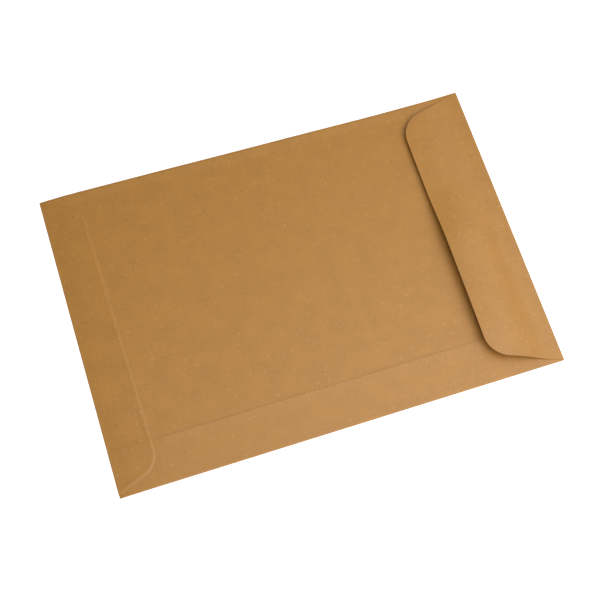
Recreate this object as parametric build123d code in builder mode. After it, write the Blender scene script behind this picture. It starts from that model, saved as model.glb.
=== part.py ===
"""Pocket envelope: one sheet of kraft paper, cut, folded and glued.

It lies on its address side. +X points at the closure flap, on a short side, and
-Y at the side seam. The origin is at the middle of the face that it lies on.
The sheet has five panels, and every fold is an arc of the sheet itself:

    front     the address panel, which lies on the table
    back      joined to the front along the far long fold
    side      a narrow flap joined along the near long fold, glued over the back
    bottom    the flap on the short side at -X, glued over the back and the side
    closure   the flap on the short side at +X, folded over and not stuck down

Glued laps are one solid, and the pocket between front and back is open at +X.
"""

import os
from math import cos, radians, sin, tan

from build123d import *

# Closed envelope
length = 9.5 * IN  # between the short folds
width = 6.5 * IN  # between the long folds
paper = 0.14  # the sheet, kraft of about 105 g/m2
pocket_gap = 0.3  # air between the front and the back

# Side seam
side_flap = 23.2  # from the near long fold to its free edge
side_glue = 12.0  # how far it laps over the back

# Bottom flap, cut a little askew
bottom_depth_far = 21.2
bottom_depth_near = 23.1
bottom_inset = 1.3  # from a long fold to the flap's end, along its own fold
bottom_corner = 12.5  # radius
bottom_slant = 20.5  # degrees that its ends lean in from square
bottom_setback = 1.5  # from its fold to the cut end of the back and the side
bottom_step = 0.5  # overlap of its two levels, at the side flap's free edge

# Closure flap
closure_depth = 39.2
closure_inset = 0.2
closure_corner = 15.5  # radius
closure_slant = 15.5  # degrees that its ends lean in from square
closure_lift = 8.5  # degrees that its fold has sprung open
closure_clearance = 0.15  # from the side flap up to it, at its fold
throat_setback = 1.0  # from its fold to the cut end of the back and the side

# Levels, counted from the table
back_top = 2 * paper + pocket_gap
side_top = back_top + paper

# What each fold closes round, between the inner faces of the sheet
far_bend = pocket_gap
near_bend = back_top - paper
bottom_bend_over_back = back_top - paper
bottom_bend_over_side = side_top - paper
closure_bend = side_top + closure_clearance - paper

seam_y = side_flap - width / 2
sleeve_start = bottom_setback - length / 2
sleeve_end = length / 2 - throat_setback


def folded_band(plane, bend, lift, foot, reach, span):
    """A strip with a round fold along one edge, lying back over its own foot.

    On the plane, X runs from the fold over the envelope and Y runs up.
    """
    inner_radius = bend / 2
    outer_radius = inner_radius + paper
    centre = (outer_radius, outer_radius)
    with BuildPart() as band:
        with BuildSketch(plane):
            with BuildLine():
                inner = CenterArc(centre, inner_radius, 270, lift - 180)
                outer = CenterArc(centre, outer_radius, 270, lift - 180)
                under = PolarLine(inner @ 1, reach, lift)
                over = PolarLine(outer @ 1, reach, lift)
                Line(under @ 1, over @ 1)
                Polyline(inner @ 0, (foot, paper), (foot, 0), outer @ 0)
            make_face()
        extrude(amount=span)
    return band.part


def trim_flap(band, plane, depth_far, depth_near, inset, slant, corner):
    """Cuts a folded band to a flap's outline: slanted ends and rounded corners.

    On the plane, X runs from the fold to the free edge and Y to the far side.
    """
    fold_end = width / 2 - inset
    lean = tan(radians(slant))
    far_corner = (depth_far, fold_end - depth_far * lean)
    near_corner = (depth_near, depth_near * lean - fold_end)
    with BuildPart() as flap:
        add(band)
        with BuildSketch(plane) as outline:
            with BuildLine():
                Polyline((0, -fold_end), near_corner, far_corner, (0, fold_end), close=True)
            make_face()
            fillet(outline.vertices().sort_by(Axis.X)[-2:], corner)
        extrude(amount=length, both=True, mode=Mode.INTERSECT)
    return flap.part


def front_strip(low_x, high_x):
    """The front alone, where the back and the side stop short of a short fold."""
    with BuildPart() as strip:
        with BuildSketch():
            with Locations(((low_x + high_x) / 2, 0)):
                Rectangle(high_x - low_x, width)
        extrude(amount=paper)
    return strip.part


# Sleeve: the front, the back and the side, one section from end to end.
with BuildPart() as sleeve:
    with BuildSketch(Plane.YZ.offset(sleeve_start)):
        far_centre = (width / 2 - paper - far_bend / 2, paper + far_bend / 2)
        near_centre = (paper + near_bend / 2 - width / 2, paper + near_bend / 2)
        back_edge = seam_y - side_glue
        with BuildLine():
            far_out = CenterArc(far_centre, far_bend / 2 + paper, -90, 180)
            near_out = CenterArc(near_centre, near_bend / 2 + paper, 90, 180)
            Line(near_out @ 1, far_out @ 0)
            Polyline(far_out @ 1, (seam_y, back_top), (seam_y, side_top), near_out @ 0)
        make_face()
        with BuildLine():
            far_in = CenterArc(far_centre, far_bend / 2, -90, 180)
            near_in = CenterArc(near_centre, near_bend / 2, 90, 180)
            Line(near_in @ 1, far_in @ 0)
            Polyline(far_in @ 1, (back_edge, back_top - paper), (back_edge, back_top), near_in @ 0)
        make_face(mode=Mode.SUBTRACT)
    extrude(amount=sleeve_end - sleeve_start)

# Bottom flap: it drops by the sheet's thickness at the side flap's free edge.
bottom_levels = (
    (bottom_bend_over_side, -width / 2, seam_y),
    (bottom_bend_over_back, seam_y - bottom_step, width / 2),
)
with BuildPart() as bottom_band:
    for bend, low_y, high_y in bottom_levels:
        fold_end = Plane(origin=(-length / 2, high_y, 0), x_dir=(1, 0, 0), y_dir=(0, 0, 1))
        add(folded_band(fold_end, bend, 0, bottom_setback, bottom_depth_near, high_y - low_y))
bottom_flap = trim_flap(
    bottom_band.part,
    Plane(origin=(-length / 2, 0, 0)),
    bottom_depth_far,
    bottom_depth_near,
    bottom_inset,
    bottom_slant,
    bottom_corner,
)

# Closure flap: flat from its fold to its free edge, and lifted.
lift_cos = cos(radians(closure_lift))
lift_sin = sin(radians(closure_lift))
closure_fold = Plane(origin=(length / 2, -width / 2, 0), x_dir=(-1, 0, 0), y_dir=(0, 0, 1))
closure_flap = trim_flap(
    folded_band(
        closure_fold, closure_bend, closure_lift, throat_setback, closure_depth, width
    ),
    Plane(origin=(length / 2, 0, 0), x_dir=(-lift_cos, 0, lift_sin), y_dir=(0, 1, 0)),
    closure_depth,
    closure_depth,
    closure_inset,
    closure_slant,
    closure_corner,
)

with BuildPart() as envelope:
    add(sleeve.part)
    add(front_strip(bottom_bend_over_side / 2 + paper - length / 2, sleeve_start))
    add(front_strip(sleeve_end, length / 2 - closure_bend / 2 - paper))
    add(bottom_flap)
    add(closure_flap)
envelope.part.label = "envelope"

os.makedirs("parts", exist_ok=True)
export_step(envelope.part, "parts/envelope.step")
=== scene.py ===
# Kraft paper pocket envelope. One folded sheet stands for the CAD solid: its middle
# surface is built panel by panel, each point keeping its place on the flat blank, and
# is then given the sheet's thickness.

import math

import bpy
import numpy as np
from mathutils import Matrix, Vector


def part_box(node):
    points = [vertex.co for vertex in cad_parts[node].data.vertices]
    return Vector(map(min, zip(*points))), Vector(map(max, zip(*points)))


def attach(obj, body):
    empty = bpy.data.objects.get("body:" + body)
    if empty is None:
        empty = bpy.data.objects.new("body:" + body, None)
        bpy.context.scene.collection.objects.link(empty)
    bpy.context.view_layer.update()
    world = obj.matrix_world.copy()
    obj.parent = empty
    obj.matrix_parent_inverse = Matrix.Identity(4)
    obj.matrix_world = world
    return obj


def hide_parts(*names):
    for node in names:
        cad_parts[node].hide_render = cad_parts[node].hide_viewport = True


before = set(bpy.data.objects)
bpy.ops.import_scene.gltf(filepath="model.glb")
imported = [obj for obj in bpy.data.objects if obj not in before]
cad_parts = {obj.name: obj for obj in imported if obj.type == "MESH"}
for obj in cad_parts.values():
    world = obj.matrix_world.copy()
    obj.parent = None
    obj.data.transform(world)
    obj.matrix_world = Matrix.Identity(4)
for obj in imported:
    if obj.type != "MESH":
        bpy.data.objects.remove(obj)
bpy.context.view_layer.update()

MM = 0.001
low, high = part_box("envelope")
HALF_LENGTH = (high.x - low.x) / 2
HALF_WIDTH = (high.y - low.y) / 2

# The sheet and its flaps
PAPER = 0.14 * MM
POCKET_GAP = 0.3 * MM
GLUE = 0.01 * MM
SIDE_FLAP = 23.2 * MM
SIDE_GLUE = 12.0 * MM
BOTTOM_FAR, BOTTOM_NEAR = 21.2 * MM, 23.1 * MM
BOTTOM_INSET = 1.3 * MM
BOTTOM_CORNER = 12.5 * MM
BOTTOM_SLANT = math.radians(20.5)
BOTTOM_SETBACK = 1.5 * MM
CLOSURE_DEPTH = 39.5 * MM
CLOSURE_INSET = 0.2 * MM
CLOSURE_CORNER = 14.8 * MM
CLOSURE_SLANT_FAR, CLOSURE_SLANT_NEAR = math.radians(14.7), math.radians(18.2)
CLOSURE_SKEW = 0.022  # its depth grows by this share at the near end, and shrinks at the far end
CLOSURE_CLEARANCE = 0.15 * MM  # from the side flap up to it, at its fold
THROAT_SETBACK = 1.0 * MM

# The closure flap's slope: pressed at the fold, then sprung up, then dipping at its edge
PRESSED, SPRUNG, DIPPED = math.radians(0.0), math.radians(24.0), math.radians(-9.0)
SPRING_START, SPRING_PEAK = 2.3 * MM, 13.4 * MM
HIGH_SHARE, LOW_SHARE = 0.93, 0.4  # of that height, at its near part and its far part
HIGH_END, LOW_START = -6.0 * MM, 34.0 * MM  # places along Y
NEAR_END_START, NEAR_END_WIDTH = 48.0 * MM, 28.0 * MM  # its near end bends down past here
NEAR_END_DROP = 0.18  # by this share of the height

# What pressing, glue and handling did to the sheet
PRESSED_EDGE = 1.5 * MM  # the bottom flap's edge is rolled down over this width
EDGE_LEFT = 0.03 * MM  # and this much of the sheet is left at the cut
BEAD, BEAD_WIDTH = 0.135 * MM, 3.0 * MM  # glue behind that edge: its height and its fade
FOLD_EASE = 2.0 * MM  # the rolled edge and the bead grow over this length from the fold
GLUE_LINE, GLUE_LINE_WIDTH = 16.8 * MM, 1.7 * MM  # a ridge this far from the fold
GLUE_LINE_HEIGHT, GLUE_LINE_EASE = 0.05 * MM, 4.0 * MM  # and its fade towards the edge
STEP_WIDTH = 1.6 * MM  # the bottom flap's drop, past the side flap's edge
STEP_REACH = 1.2  # and where it ends, in those widths
SEAM_LIFT, SEAM_LIFT_WIDTH = 0.4 * MM, 8.0 * MM  # the side flap's free edge stands up
SEAM_LIFT_CURVE = 1.4  # power of its rise
SEAM_LIFT_START, SEAM_LIFT_EASE = 23.0 * MM, 3.0 * MM  # clear of the bottom flap
SEAM_LIFT_STOP, SEAM_LIFT_FADE = 4.2 * MM, 14.0 * MM  # before the throat
CORNER_LIFT, LIFT_LENGTH = 3.4 * MM, 58.0 * MM  # the far corner at the throat curls up
FOLD_CRUSH, CRUSH_WIDTH = 0.26 * MM, 7.0 * MM  # the layers at the bottom fold are pressed down

# The air in the pocket, and the stiffness of its folds
PUFF_LENGTH = 16.0 * MM  # from the bottom fold to the full height
THROAT_LENGTH = 45.0 * MM  # the height falls off over this length before the throat
THROAT_PUFF, THROAT_SLOPE = 0.25, 0.1  # the shares of the height left at the throat
AIR_NEAR, AIR_MORE, AIR_WIDTH = 0.12 * MM, 0.2 * MM, 18.0 * MM  # more away from the near fold
SLOPE_RISE, SLOPE_LENGTH = 0.55 * MM, 22.0 * MM  # the climb from the bottom fold
FAR_SPRING, FAR_SPRING_WIDTH = 0.36 * MM, 7.0 * MM  # the far fold stands up a little
WAVE_HEIGHT, WAVE_PHASE = 0.07 * MM, 0.7
WAVE_ALONG, WAVE_SKEW, WAVE_ACROSS = 13.0 * MM, 31.0 * MM, 17.0 * MM

# The grid
BEND_CELLS = 10
BOTTOM_CORE, CLOSURE_CORE = 60.5 * MM, 50.0 * MM  # columns run straight inside these
FINE_BOTTOM, FINE_CLOSURE = 24.0 * MM, 60.0 * MM  # closer lines next to the short folds
FINE_SEAM, FINE_END = 2.5 * MM, 3.0 * MM  # and beside the seam and the flap's ends
SLEEVE_GAP = 0.1 * MM  # from the sleeve's cut end to where the front is drawn out
FINE_BACK, FINE_SIDE = 14.0 * MM, 6.0 * MM  # and next to the long folds
EDGE_FIRST, EDGE_PAST = 0.2 * MM, 1.5 * MM  # rows from inside the cut to past the rolled edge
SMALLEST_ROW = 0.05 * MM  # closer rows are left out
SHARP = math.radians(50.0)  # sharper edges are shaded as edges
INNER_SHIFT = (1.0, 0.0)  # the inner side's place on the blank, so that its fibres differ

# Middle-surface levels and bend radii
FRONT_LEVEL = PAPER / 2
BACK_LEVEL = FRONT_LEVEL + PAPER + POCKET_GAP
SIDE_LEVEL = BACK_LEVEL + PAPER + GLUE
FAR_RADIUS = (BACK_LEVEL - FRONT_LEVEL) / 2
NEAR_RADIUS = (SIDE_LEVEL - FRONT_LEVEL) / 2
CLOSURE_RADIUS = (SIDE_LEVEL + PAPER + CLOSURE_CLEARANCE - FRONT_LEVEL) / 2

# Lines across the sheet
SEAM_Y = SIDE_FLAP - HALF_WIDTH
FAR_Y = HALF_WIDTH - PAPER / 2 - FAR_RADIUS
NEAR_Y = NEAR_RADIUS + PAPER / 2 - HALF_WIDTH
START_X = BOTTOM_SETBACK - HALF_LENGTH
END_X = HALF_LENGTH - THROAT_SETBACK
HINGE_X = HALF_LENGTH - PAPER / 2 - CLOSURE_RADIUS
BOTTOM_HALF = HALF_WIDTH - BOTTOM_INSET
CLOSURE_HALF = HALF_WIDTH - CLOSURE_INSET


def smooth(t):
    """0 below 0, 1 above 1, and an S between."""
    t = np.clip(t, 0.0, 1.0)
    return t * t * (3.0 - 2.0 * t)


def spaced(start, *stretches):
    """Grid lines from start through each (end, cells)."""
    lines = [np.array([start])]
    for end, cells in stretches:
        lines.append(np.linspace(lines[-1][-1], end, cells + 1)[1:])
    return np.concatenate(lines)


# The front's grid: all panels share its lines where they join it
X_LINES = spaced(
    -HALF_LENGTH,
    (START_X - SLEEVE_GAP, 2),
    (START_X, 1),
    (FINE_BOTTOM - HALF_LENGTH, 22),
    (HALF_LENGTH - FINE_CLOSURE, 50),
    (END_X, 26),
    (END_X + SLEEVE_GAP, 1),
    (HINGE_X, 2),
)
Y_LINES = spaced(
    NEAR_Y,
    (-BOTTOM_HALF, 2),
    (FINE_END - BOTTOM_HALF, 9),
    (SEAM_Y - FINE_SEAM, 12),
    (SEAM_Y + FINE_SEAM, 12),
    (BOTTOM_CORE, 44),
    (BOTTOM_HALF - FINE_END, 14),
    (BOTTOM_HALF, 9),
    (FAR_Y, 2),
)
SLEEVE = slice(3, len(X_LINES) - 3)  # the rows that have a back and a side
BOTTOM = slice(2, len(Y_LINES) - 2)  # the columns that the bottom flap continues


def relief(x, y, spring):
    """How far the upper layers stand off their pressed level.

    The far fold springs (by spring, 0 to 1), the short fold at -X is crushed, and the
    pocket holds a little air.
    """
    from_bottom = x + HALF_LENGTH
    closed = smooth((HALF_LENGTH - x) / THROAT_LENGTH)
    inside = smooth(from_bottom / PUFF_LENGTH) * (THROAT_PUFF + (1 - THROAT_PUFF) * closed)
    air = AIR_NEAR + AIR_MORE * smooth((y + HALF_WIDTH) / AIR_WIDTH)
    slope = SLOPE_RISE * np.clip(from_bottom / SLOPE_LENGTH, 0.0, 1.0)
    slope = slope * (THROAT_SLOPE + (1 - THROAT_SLOPE) * closed)
    fold = FAR_SPRING * spring * (1.0 - smooth((HALF_WIDTH - y) / FAR_SPRING_WIDTH))
    waves = np.sin(x / WAVE_ALONG + y / WAVE_SKEW) * np.sin(y / WAVE_ACROSS - WAVE_PHASE)
    crush = FOLD_CRUSH * (1.0 - smooth(from_bottom / CRUSH_WIDTH))
    return inside * (air + fold + WAVE_HEIGHT * waves) + slope - crush


def corner_lift(x, y):
    """The far corner at the closure flap curls up off the table."""
    along = np.clip((x - HALF_LENGTH + LIFT_LENGTH) / LIFT_LENGTH, 0.0, None)
    return CORNER_LIFT * along**2 * np.clip(y / (2 * HALF_WIDTH) + 0.5, 0.0, 1.0)


def bottom_level(y):
    """The bottom flap's level: on the back, or a sheet higher on the side flap."""
    on_side = smooth((SEAM_Y - y) / STEP_WIDTH + STEP_REACH)
    return SIDE_LEVEL + on_side * (PAPER + GLUE)


def points(x, y, z):
    """A grid of places, from coordinates that broadcast together."""
    return np.stack(np.broadcast_arrays(x, y, z), -1)


def flat_points(u, v):
    """The same for places on the flat blank."""
    return np.stack(np.broadcast_arrays(u, v), -1)


class Sheet:
    """The middle surface as it is put together."""

    def __init__(self):
        self.places, self.blank, self.outer, self.quads = [], [], [], []
        self.count = 0

    def block(self, places, blank, rise, spring=1.0, outer=PAPER / 2):
        """Adds a grid of points and returns their numbers.

        rise is 0 on the front and 1 on the layers above it, and outer is how far the
        sheet's outer face stands off the middle surface.
        """
        shape = places.shape[:2]
        places = places.copy()
        places[..., 2] += rise * relief(places[..., 0], places[..., 1], spring)
        places[..., 2] += corner_lift(places[..., 0], places[..., 1])
        self.places.append(places.reshape(-1, 3))
        self.blank.append(blank.reshape(-1, 2))
        self.outer.append(np.broadcast_to(outer, shape).ravel())
        numbers = np.arange(shape[0] * shape[1]).reshape(shape) + self.count
        self.count += numbers.size
        return numbers

    def join(self, numbers):
        """Quads over a grid: first index along the blank's +X, second along its +Y."""
        a, b = numbers[:-1, :-1], numbers[1:, :-1]
        c, d = numbers[1:, 1:], numbers[:-1, 1:]
        self.quads.append(np.stack([a, b, c, d], -1).reshape(-1, 4))


def bend(radius, turn_to=math.pi):
    """How far out, up and along each line of a round bend lies."""
    turn = np.linspace(0.0, turn_to, BEND_CELLS + 1)[1:]
    return radius * np.sin(turn), radius * (1 - np.cos(turn)), radius * turn


def fillet_reach(corner, slant):
    """Distance from a flap's sharp corner to where its rounding starts."""
    return corner * math.tan((math.pi / 2 - slant) / 2)


def flap_half_width(run, depth, fold_half, slant, corner):
    """Half width of a flap with slanted ends and rounded corners, run past its fold."""
    reach = fillet_reach(corner, slant)
    straight = fold_half - run * math.tan(slant)
    centre_half = fold_half - depth * math.tan(slant) - reach
    inside = np.clip(corner**2 - (run - depth + corner) ** 2, 0.0, None)
    rounded = centre_half + np.sqrt(inside)
    return np.where(run > depth - reach * math.cos(slant), rounded, straight)


def flap_runs(depth, slant, corner, straight_cells, round_cells, edge_lines=()):
    """Rows from a flap's fold to its free edge, closer together round the corners."""
    start = depth - fillet_reach(corner, slant) * math.cos(slant)
    first = math.asin((start - depth + corner) / corner)
    turn = np.linspace(first, math.pi / 2, round_cells + 1)[1:]
    straight = np.linspace(0.0, start, straight_cells + 1)[1:]
    rows = np.concatenate([straight, depth - corner + corner * np.sin(turn), edge_lines])
    rows = np.sort(rows)
    return rows[np.diff(rows, prepend=-1.0) > SMALLEST_ROW]


def narrowed(y, core, outer, half):
    """Columns past the core drawn in, or out, so that the one at outer ends at half."""
    share = (np.abs(y) - core) / (outer - core)
    drawn = core + share * (half - core)
    return np.where(share > 0, np.sign(y) * drawn, y)


def distance_to_line(line, places):
    """Distance on the plan from each point of a grid to a polyline."""
    start, along = line[:-1], np.diff(line, axis=0)
    place = places[..., None, :2]
    share = ((place - start) * along).sum(-1) / (along**2).sum(-1)
    nearest = start + np.clip(share, 0.0, 1.0)[..., None] * along
    return np.linalg.norm(place - nearest, axis=-1).min(-1)


def widened_ends(y):
    """The front's columns past the sleeve, out to the closure flap's width."""
    far = narrowed(y, CLOSURE_CORE, FAR_Y, CLOSURE_HALF)
    near = narrowed(y, CLOSURE_CORE, -NEAR_Y, CLOSURE_HALF)
    return np.where(y > 0, far, near)


def add_front(sheet):
    """The address panel, drawn out past the sleeve to the folds of the short flaps."""
    x = np.repeat(X_LINES[:, None], len(Y_LINES), 1)
    y = np.repeat(Y_LINES[None, :], len(X_LINES), 0)
    bottom_x = (bottom_level(Y_LINES) - FRONT_LEVEL) / 2 + PAPER / 2 - HALF_LENGTH
    bottom_x[: BOTTOM.start] = bottom_x[BOTTOM.stop :] = -HALF_LENGTH
    for row in range(SLEEVE.start):
        share = (X_LINES[row] + HALF_LENGTH) / BOTTOM_SETBACK
        x[row] = bottom_x + (START_X - bottom_x) * share
        y[row, 0], y[row, -1] = -HALF_WIDTH, HALF_WIDTH
    y[SLEEVE.stop :] = widened_ends(Y_LINES)
    places = points(x, y, FRONT_LEVEL)
    numbers = sheet.block(places, places[..., :2], 0.0)
    sheet.join(numbers)
    return numbers


def add_back(sheet, front):
    """The far long fold and the back."""
    out, up, along = bend(FAR_RADIUS)
    depth = FAR_Y - (SEAM_Y - SIDE_GLUE)
    run = spaced(0.0, (FINE_BACK, 12), (depth, 44))[1:]
    y = np.concatenate([FAR_Y + out, FAR_Y - run])
    z = FRONT_LEVEL + np.concatenate([up, np.full(len(run), 2 * FAR_RADIUS)])
    v = FAR_Y + np.concatenate([along, along[-1] + run])
    rise = np.concatenate([up / up[-1], np.ones(len(run))])
    x = X_LINES[SLEEVE, None]
    numbers = sheet.block(points(x, y[None], z[None]), flat_points(x, v[None]), rise[None])
    sheet.join(np.hstack([front[SLEEVE, -1:], numbers]))


def add_side(sheet, front):
    """The near long fold and the side flap, whose free edge stands up a little."""
    out, up, along = bend(NEAR_RADIUS)
    depth = SIDE_FLAP - NEAR_RADIUS - PAPER / 2
    run = spaced(0.0, (FINE_SIDE, 8), (depth - SEAM_LIFT_WIDTH, 8), (depth, 8))[1:]
    y = np.concatenate([NEAR_Y - out, NEAR_Y + run])[None, ::-1]
    z = FRONT_LEVEL + np.concatenate([up, np.full(len(run), 2 * NEAR_RADIUS)])[None, ::-1]
    v = NEAR_Y - np.concatenate([along, along[-1] + run])[None, ::-1]
    rise = np.concatenate([up / up[-1], np.ones(len(run))])[None, ::-1]
    x = X_LINES[SLEEVE, None]
    clear = smooth((x + HALF_LENGTH - SEAM_LIFT_START) / SEAM_LIFT_EASE)
    clear = clear * smooth((HALF_LENGTH - x - SEAM_LIFT_STOP) / SEAM_LIFT_FADE)
    to_edge = np.clip(1 + (y - SEAM_Y) / SEAM_LIFT_WIDTH, 0.0, 1.0)
    lift = SEAM_LIFT * clear * to_edge**SEAM_LIFT_CURVE
    numbers = sheet.block(points(x, y, z + lift), flat_points(x, v), rise)
    sheet.join(np.hstack([numbers, front[SLEEVE, :1]]))


def press_bottom_edge(places, from_fold):
    """Rolls the bottom flap's cut edge down over its bead of glue, in place.

    Returns how far the sheet's outer face stands off the middle surface.
    """
    outline = np.concatenate([places[:, 0], places[-1, 1:-1], places[::-1, -1]])[:, :2]
    to_edge = distance_to_line(outline, places)
    past_fold = smooth(from_fold / FOLD_EASE)
    behind = np.clip(to_edge - PRESSED_EDGE, 0.0, None)
    bead = BEAD * smooth(to_edge / PRESSED_EDGE) * (1.0 - smooth(behind / BEAD_WIDTH))
    from_line = (from_fold - GLUE_LINE) / GLUE_LINE_WIDTH
    line = GLUE_LINE_HEIGHT * np.exp(-(from_line**2)) * smooth(to_edge / GLUE_LINE_EASE)
    places[..., 2] += bead * past_fold + line
    rolled = smooth(1.0 - to_edge / PRESSED_EDGE) * past_fold
    return PAPER / 2 - rolled * (PAPER - EDGE_LEFT)


def add_bottom(sheet, front):
    """The fold at -X and the bottom flap, cut a little askew."""
    columns = Y_LINES[BOTTOM]
    radius = (bottom_level(columns) - FRONT_LEVEL)[None, :] / 2
    hinge = radius + PAPER / 2 - HALF_LENGTH
    turn = np.linspace(0.0, math.pi, BEND_CELLS + 1)[1:, None]
    bend_up = radius * (1 - np.cos(turn))
    bend_places = points(hinge - radius * np.sin(turn), columns[None], FRONT_LEVEL + bend_up)
    bend_blank = flat_points(hinge - radius * turn, columns[None])
    bend_rise = np.repeat((1 - np.cos(turn)) / 2, len(columns), 1)

    edge_lines = BOTTOM_NEAR - np.linspace(EDGE_FIRST, PRESSED_EDGE + EDGE_PAST, 12)
    runs = flap_runs(BOTTOM_NEAR, BOTTOM_SLANT, BOTTOM_CORNER, 12, 12, edge_lines)
    share = (runs / BOTTOM_NEAR)[:, None]
    y = np.where(
        columns > 0,
        bottom_columns(share, columns, BOTTOM_FAR),
        bottom_columns(share, columns, BOTTOM_NEAR),
    )
    far_corner = BOTTOM_HALF - BOTTOM_FAR * math.tan(BOTTOM_SLANT)
    near_corner = BOTTOM_NEAR * math.tan(BOTTOM_SLANT) - BOTTOM_HALF
    skew = (BOTTOM_FAR - BOTTOM_NEAR) / (far_corner - near_corner)
    depth = BOTTOM_NEAR + (y - near_corner) * skew - PAPER / 2 - radius
    places = points(hinge + share * depth, y, bottom_level(y))
    outer = press_bottom_edge(places, share * depth)
    blank = flat_points(hinge - math.pi * radius - share * depth, y)

    numbers = sheet.block(
        np.concatenate([bend_places, places])[::-1],
        np.concatenate([bend_blank, blank])[::-1],
        np.concatenate([bend_rise, np.ones_like(y)])[::-1],
        outer=np.concatenate([np.full_like(bend_rise, PAPER / 2), outer])[::-1],
    )
    sheet.join(np.vstack([numbers, front[:1, BOTTOM]]))


def bottom_columns(share, columns, depth):
    """The bottom flap's columns in each row, for an end that is depth long."""
    half = flap_half_width(share * depth, depth, BOTTOM_HALF, BOTTOM_SLANT, BOTTOM_CORNER)
    return narrowed(columns[None], BOTTOM_CORE, BOTTOM_HALF, half)


def closure_columns(past_fold, columns, slant):
    """The closure flap's columns in each row, for an end with that slant."""
    half = flap_half_width(past_fold, CLOSURE_DEPTH, CLOSURE_HALF, slant, CLOSURE_CORNER)
    return narrowed(columns, CLOSURE_CORE, CLOSURE_HALF, half)


def closure_slope(run):
    """The closure flap's slope along its run from the fold."""
    sprung = PRESSED + (SPRUNG - PRESSED) * smooth(
        (run - SPRING_START) / (SPRING_PEAK - SPRING_START)
    )
    eased = smooth((run - SPRING_PEAK) / (CLOSURE_DEPTH - SPRING_PEAK))
    return sprung + (DIPPED - SPRUNG) * eased


def add_closure(sheet, front):
    """The fold at +X and the sprung closure flap."""
    out, up, along = bend(CLOSURE_RADIUS, math.pi - PRESSED)
    reach = CLOSURE_DEPTH - CLOSURE_RADIUS - PAPER / 2
    run = flap_runs(reach, CLOSURE_SLANT_NEAR, CLOSURE_CORNER, 26, 20)
    step = np.diff(run, prepend=0.0)
    slope = closure_slope(run - step / 2)
    flap_out = out[-1] - np.cumsum(step * np.cos(slope))
    flap_up = np.cumsum(step * np.sin(slope))

    columns = widened_ends(Y_LINES)[None]
    past_fold = (run + CLOSURE_RADIUS + PAPER / 2)[:, None]
    flap_y = np.where(
        columns > 0,
        closure_columns(past_fold, columns, CLOSURE_SLANT_FAR),
        closure_columns(past_fold, columns, CLOSURE_SLANT_NEAR),
    )
    low = smooth((flap_y - HIGH_END) / (LOW_START - HIGH_END))
    near_end = smooth((-NEAR_END_START - flap_y) / NEAR_END_WIDTH)
    share = HIGH_SHARE + (LOW_SHARE - HIGH_SHARE) * low - NEAR_END_DROP * near_end
    flap_z = up[-1] + flap_up[:, None] * share
    y = np.concatenate([np.repeat(columns, BEND_CELLS, 0), flap_y])
    z = FRONT_LEVEL + np.concatenate([np.repeat(up[:, None], len(Y_LINES), 1), flap_z])
    skew = 1.0 - CLOSURE_SKEW * flap_y / HALF_WIDTH
    flap_x = out[-1] + (flap_out - out[-1])[:, None] * skew
    x = HINGE_X + np.concatenate([np.repeat(out[:, None], len(Y_LINES), 1), flap_x])
    u = HINGE_X + np.concatenate([along, along[-1] + run])[:, None]
    rise = np.concatenate([up / up[-1], np.ones(len(run))])[:, None]
    numbers = sheet.block(points(x, y, z), flat_points(u, y), rise, spring=0.0)
    sheet.join(np.vstack([front[-1:], numbers]))


def point_normals(places, quads):
    """Area-weighted normals, towards the sheet's inner side."""
    a, b, c, d = (places[quads[:, k]] for k in range(4))
    cross = np.cross(c - a, d - b)
    normals = np.zeros_like(places)
    for k in range(4):
        np.add.at(normals, quads[:, k], cross)
    return normals / np.linalg.norm(normals, axis=1, keepdims=True)


def rim_edges(quads):
    """The sheet's cut edges, each directed as in its one quad."""
    edges = np.concatenate([quads[:, [k, (k + 1) % 4]] for k in range(4)])
    key = edges.min(1) * (edges.max() + 1) + edges.max(1)
    _, where, uses = np.unique(key, return_index=True, return_counts=True)
    return edges[where[uses == 1]]


def make_envelope():
    """The closed shell: the inner side, the outer side and the cut edge round them."""
    sheet = Sheet()
    front = add_front(sheet)
    add_back(sheet, front)
    add_side(sheet, front)
    add_bottom(sheet, front)
    add_closure(sheet, front)
    places = np.concatenate(sheet.places)
    blank = np.concatenate(sheet.blank)
    quads = np.concatenate(sheet.quads)
    outer = np.concatenate(sheet.outer)[:, None]
    normals = point_normals(places, quads)
    sides = np.concatenate([places + normals * PAPER / 2, places - normals * outer])
    count = len(places)
    rim = rim_edges(quads)
    rim_quads = np.stack([rim[:, 1], rim[:, 0], rim[:, 0] + count, rim[:, 1] + count], -1)
    faces = np.concatenate([quads, quads[:, ::-1] + count, rim_quads])
    mesh = bpy.data.meshes.new("folded_sheet")
    mesh.from_pydata(sides.tolist(), [], faces.tolist())
    uv = mesh.uv_layers.new(name="blank")
    corners = np.empty(len(mesh.loops), np.int32)
    mesh.loops.foreach_get("vertex_index", corners)
    flat = np.concatenate([blank + INNER_SHIFT, blank])
    uv.data.foreach_set("uv", flat[corners].astype(np.float32).ravel())
    mesh.shade_smooth()
    mesh.set_sharp_from_angle(angle=SHARP)
    piece = bpy.data.objects.new("folded_sheet", mesh)
    bpy.context.scene.collection.objects.link(piece)
    return piece


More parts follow.
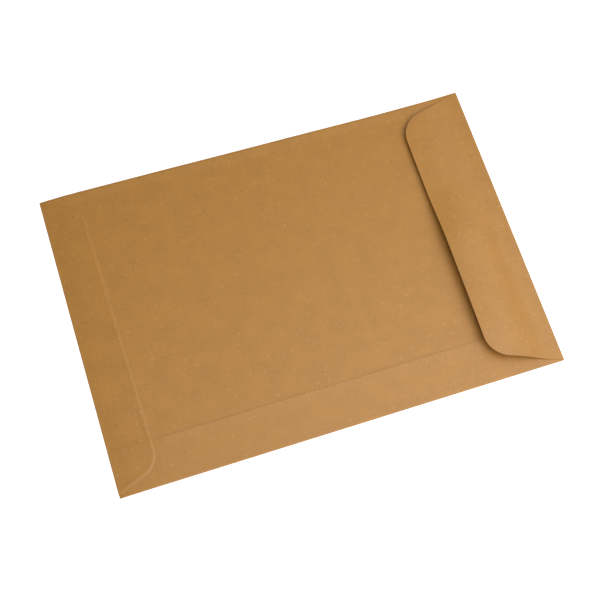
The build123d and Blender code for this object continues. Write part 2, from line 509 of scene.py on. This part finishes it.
class Nodes:
    """Short calls for a material's nodes."""

    def __init__(self, name):
        self.material = bpy.data.materials.new(name)
        self.material.use_nodes = True
        self.tree = self.material.node_tree
        self.tree.nodes.clear()

    def add(self, kind, inputs=None, **settings):
        node = self.tree.nodes.new(kind)
        for key, value in settings.items():
            setattr(node, key, value)
        for key, value in (inputs or {}).items():
            self.feed(node.inputs[key], value)
        return node

    def feed(self, socket, value):
        if isinstance(value, bpy.types.NodeSocket):
            self.tree.links.new(value, socket)
        else:
            socket.default_value = value

    def maths(self, operation, a, b=0.0, c=0.0):
        inputs = {0: a, 1: b, 2: c}
        return self.add("ShaderNodeMath", inputs, operation=operation).outputs[0]

    def vector(self, operation, a, b):
        return self.add("ShaderNodeVectorMath", {0: a, 1: b}, operation=operation).outputs[0]

    def ranged(self, value, low, high, to_low=0.0, to_high=1.0):
        inputs = {0: value, 1: low, 2: high, 3: to_low, 4: to_high}
        kind = "ShaderNodeMapRange"
        return self.add(kind, inputs, interpolation_type="SMOOTHSTEP").outputs[0]

    def noise(self, place, scale, detail=2.0, roughness=0.5):
        inputs = {"Vector": place, "Scale": scale, "Detail": detail, "Roughness": roughness}
        return self.add("ShaderNodeTexNoise", inputs).outputs["Fac"]

    def shade(self, **inputs):
        shader = self.add("ShaderNodeBsdfPrincipled")
        for key, value in inputs.items():
            self.feed(shader.inputs[key.replace("_", " ")], value)
        output = self.add("ShaderNodeOutputMaterial")
        self.feed(output.inputs["Surface"], shader.outputs[0])
        return self.material


def fibres(nodes, place, cell, length, thickness, kept, offset):
    """A scatter of short fibres, one to a cell, each with its own direction and strength."""
    moved = nodes.vector("ADD", place, (offset, -offset, 0.0))
    inputs = {"Vector": moved, "Scale": 1.0 / cell}
    cells = nodes.add("ShaderNodeTexVoronoi", inputs, voronoi_dimensions="2D")
    away = nodes.vector("SUBTRACT", moved, cells.outputs["Position"])
    chance = nodes.add("ShaderNodeSeparateColor", {0: cells.outputs["Color"]}).outputs
    angle = nodes.maths("MULTIPLY", chance[0], math.tau)
    inputs = {"Vector": away, "Angle": angle}
    turned = nodes.add("ShaderNodeVectorRotate", inputs, rotation_type="Z_AXIS").outputs[0]
    squashed = nodes.vector("DIVIDE", turned, (length, thickness, 1.0))
    reach = nodes.add("ShaderNodeVectorMath", {0: squashed}, operation="LENGTH").outputs["Value"]
    mark = nodes.ranged(reach, 1.0, FIBRE_CORE)
    strong = nodes.ranged(chance[1], 1.0 - kept, 1.0)
    return nodes.maths("MULTIPLY", mark, strong)


def scatter(nodes, place, layers):
    """Several layers of fibres added up."""
    total = 0.0
    for layer in layers:
        total = nodes.maths("ADD", fibres(nodes, place, *layer), total)
    return total


# Layers of fibres: cell, half length, half thickness (mm), share kept, offset
LIGHT_FIBRES = (
    (3.4, 1.4, 0.24, 0.35, 3.7),
    (5.3, 1.9, 0.28, 0.35, 41.3),
    (2.1, 0.5, 0.22, 0.3, 87.1),
)
DARK_FIBRES = (
    (3.7, 0.8, 0.24, 0.35, 13.9),
    (6.1, 1.3, 0.26, 0.35, 63.7),
    (2.2, 0.34, 0.22, 0.25, 29.3),
)
KRAFT = (0.475, 0.207, 0.019)
PALE_FIBRE = (0.72, 0.42, 0.16)
PALE_SHARE, DARK_SHARE = 0.38, 0.34  # how strongly a fibre shows in the colour
FIBRE_CORE = 0.35  # the share of a fibre's reach that is at full strength

# Noise in the paper: scale per mm, detail, roughness
CLOUDS = (0.09, 4.0, 0.6)
CLOUD_SPAN, FINE_SPAN, GLAZE_SPAN = (0.3, 0.7), (0.25, 0.75), (0.2, 0.8)  # values that count
SPECKS = (0.9, 3.0, 0.6)
TOOTH = (2.6, 3.0, 0.65)
MACHINE_LINES = (0.012, 0.9, 1.0)  # scale per mm along the sheet, across it and out
CLOUD_TONE, SPECK_TONE, LINE_TONE = 0.04, 0.04, 0.008  # how much lighter and darker
CURL, CURL_SCALE = 1.6, 0.35  # how far and how closely the fibres wander, in mm
TOOTH_HEIGHT, TOOTH_STRENGTH = 0.04 * MM, 0.3
LIGHT_RAISED, DARK_SUNK = 0.35, 0.25  # fibres in the bump, against the tooth
SMOOTHEST, ROUGHEST = 0.5, 0.6
GLAZE = 0.95  # the shader's specular level


def kraft_material():
    """Brown kraft: cloudy colour, light and dark fibres, faint machine lines, soft tooth."""
    nodes = Nodes("kraft_paper")
    flat = nodes.add("ShaderNodeUVMap", uv_map="blank").outputs[0]
    place = nodes.vector("MULTIPLY", flat, (1 / MM, 1 / MM, 1 / MM))
    inputs = {"Vector": place, "Scale": CURL_SCALE, "Detail": 2.0}
    drift = nodes.add("ShaderNodeTexNoise", inputs).outputs["Color"]
    drift = nodes.vector("SUBTRACT", drift, (0.5, 0.5, 0.5))
    curly = nodes.vector("ADD", place, nodes.vector("MULTIPLY", drift, (CURL, CURL, 0.0)))

    cloud = nodes.noise(place, *CLOUDS)
    speck = nodes.noise(place, *SPECKS)
    lines = nodes.noise(nodes.vector("MULTIPLY", place, MACHINE_LINES), 1.0)
    light = scatter(nodes, curly, LIGHT_FIBRES)
    dark = scatter(nodes, curly, DARK_FIBRES)

    tone = nodes.ranged(cloud, *CLOUD_SPAN, 1 - CLOUD_TONE, 1 + CLOUD_TONE)
    for field, spread in ((speck, SPECK_TONE), (lines, LINE_TONE)):
        shade = nodes.ranged(field, *FINE_SPAN, 1 - spread, 1 + spread)
        tone = nodes.maths("MULTIPLY", tone, shade)
    tone = nodes.maths("MULTIPLY_ADD", dark, -DARK_SHARE, tone)
    grey = nodes.add("ShaderNodeCombineColor", {0: tone, 1: tone, 2: tone}).outputs[0]
    mix = nodes.add("ShaderNodeMix", data_type="RGBA", blend_type="MULTIPLY")
    nodes.feed(mix.inputs[0], 1.0)
    nodes.feed(mix.inputs[6], (*KRAFT, 1.0))
    nodes.feed(mix.inputs[7], grey)
    pale = nodes.add("ShaderNodeMix", data_type="RGBA", blend_type="MIX")
    nodes.feed(pale.inputs[0], nodes.maths("MULTIPLY", light, PALE_SHARE))
    nodes.feed(pale.inputs[6], mix.outputs[2])
    nodes.feed(pale.inputs[7], (*PALE_FIBRE, 1.0))

    tooth = nodes.noise(place, *TOOTH)
    height = nodes.maths("MULTIPLY_ADD", light, LIGHT_RAISED, tooth)
    height = nodes.maths("MULTIPLY_ADD", dark, -DARK_SUNK, height)
    inputs = {"Strength": TOOTH_STRENGTH, "Distance": TOOTH_HEIGHT, "Height": height}
    bump = nodes.add("ShaderNodeBump", inputs).outputs[0]
    rough = nodes.ranged(speck, *GLAZE_SPAN, SMOOTHEST, ROUGHEST)
    return nodes.shade(
        Base_Color=pale.outputs[2], Roughness=rough, Normal=bump, Specular_IOR_Level=GLAZE
    )


# The floor, the lights (place, size and power in m and W) and the camera
FLOOR_WHITE, FLOOR_ROUGHNESS, FLOOR_GLOW = 0.9, 0.9, 0.6
FLOOR_HALF = 3.0
FLOOR_DROP = 0.05 * MM
KEY = ((0.15, -0.23, 0.5), 0.6, 2.62)
SHEEN = ((0.66, 0.12, 0.6), 0.5, 1.3)
WORLD_LIGHT = 0.31
CAMERA_PLACE = (-0.09667, -0.16592, 0.5157)
CAMERA_TURN = (18.921, -4.414, -18.215)  # degrees
CAMERA_LENS = 61.88


def floor_material():
    white = (1.0, 1.0, 1.0, 1.0)
    pale = (FLOOR_WHITE, FLOOR_WHITE, FLOOR_WHITE, 1.0)
    nodes = Nodes("pale_floor")
    return nodes.shade(
        Base_Color=pale,
        Roughness=FLOOR_ROUGHNESS,
        Emission_Color=white,
        Emission_Strength=FLOOR_GLOW,
    )


def make_floor():
    mesh = bpy.data.meshes.new("floor")
    h = FLOOR_HALF
    mesh.from_pydata([(-h, -h, 0), (h, -h, 0), (h, h, 0), (-h, h, 0)], [], [(0, 1, 2, 3)])
    mesh.materials.append(floor_material())
    floor = bpy.data.objects.new("floor", mesh)
    floor.location.z = -FLOOR_DROP
    bpy.context.scene.collection.objects.link(floor)


def soft_box(name, place, size, power):
    """A square soft light that faces the middle of the envelope."""
    data = bpy.data.lights.new(name, "AREA")
    data.size = size
    data.energy = power
    lamp = bpy.data.objects.new(name, data)
    lamp.location = place
    lean = math.atan2(math.hypot(place[0], place[1]), place[2])
    lamp.rotation_euler = (lean, 0.0, math.atan2(place[0], -place[1]))
    bpy.context.scene.collection.objects.link(lamp)


def make_lights():
    soft_box("key", *KEY)
    soft_box("sheen", *SHEEN)
    world = bpy.data.worlds.new("studio")
    world.use_nodes = True
    background = world.node_tree.nodes["Background"]
    background.inputs["Color"].default_value = (1.0, 1.0, 1.0, 1.0)
    background.inputs["Strength"].default_value = WORLD_LIGHT
    bpy.context.scene.world = world


def make_camera():
    data = bpy.data.cameras.new("camera")
    data.lens = CAMERA_LENS
    camera = bpy.data.objects.new("camera", data)
    camera.location = CAMERA_PLACE
    camera.rotation_euler = [math.radians(a) for a in CAMERA_TURN]
    bpy.context.scene.collection.objects.link(camera)
    bpy.context.scene.camera = camera
    bpy.context.scene.view_settings.view_transform = "Standard"


make_camera()
make_lights()
make_floor()
envelope = make_envelope()
envelope.data.materials.append(kraft_material())
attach(envelope, "root")
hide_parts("envelope")
